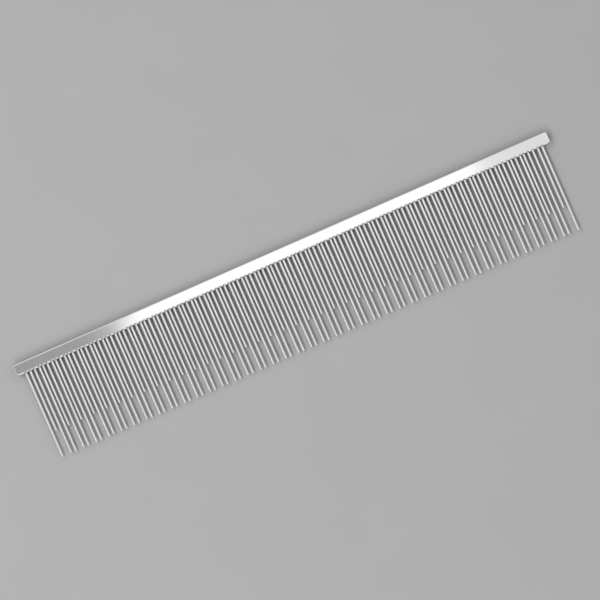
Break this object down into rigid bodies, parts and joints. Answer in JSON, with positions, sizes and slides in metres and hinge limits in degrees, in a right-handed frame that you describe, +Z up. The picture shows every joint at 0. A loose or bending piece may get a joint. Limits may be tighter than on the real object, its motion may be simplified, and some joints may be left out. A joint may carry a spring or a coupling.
{
  "type": "steel grooming comb",
  "caption": "Straight steel pet grooming comb: a slim bar spine with a dense row of tapered round pins, long and short lengths alternating.",
  "frame": {"origin": "centre of the whole comb's outline, on the broad face of the spine that the comb lies on", "axes": "+X along the spine, +Y from the pin tips to the back of the spine, +Z up through the thickness"},
  "size_m": [0.25, 0.0446, 0.004],
  "materials": {
    "spine_steel": "polished",
    "pin_steel": "satin"
  },
  "bodies": {
    "root": {"spine": "spine_steel", "pin_trio_01": "pin_steel", "pin_trio_02": "pin_steel", "pin_trio_03": "pin_steel", "pin_trio_04": "pin_steel", "pin_trio_05": "pin_steel", "pin_trio_06": "pin_steel", "pin_trio_07": "pin_steel", "pin_trio_08": "pin_steel", "pin_trio_09": "pin_steel", "pin_trio_10": "pin_steel", "pin_trio_11": "pin_steel", "pin_trio_12": "pin_steel", "pin_trio_13": "pin_steel", "pin_trio_14": "pin_steel", "pin_trio_15": "pin_steel", "pin_trio_16": "pin_steel", "pin_trio_17": "pin_steel", "pin_trio_18": "pin_steel", "pin_trio_19": "pin_steel", "pin_trio_20": "pin_steel", "pin_trio_21": "pin_steel", "pin_trio_22": "pin_steel", "pin_trio_23": "pin_steel", "pin_trio_24": "pin_steel", "pin_trio_25": "pin_steel", "pin_trio_26": "pin_steel", "pin_trio_27": "pin_steel", "pin_trio_28": "pin_steel", "pin_trio_29": "pin_steel", "pin_trio_30": "pin_steel", "pin_trio_31": "pin_steel", "pin_trio_32": "pin_steel", "pin_trio_33": "pin_steel", "pin_trio_34": "pin_steel", "pin_trio_35": "pin_steel", "pin_trio_36": "pin_steel", "pin_trio_37": "pin_steel", "pin_trio_38": "pin_steel", "pin_trio_39": "pin_steel", "pin_trio_40": "pin_steel", "pin_trio_41": "pin_steel"}
  },
  "joints": []
}
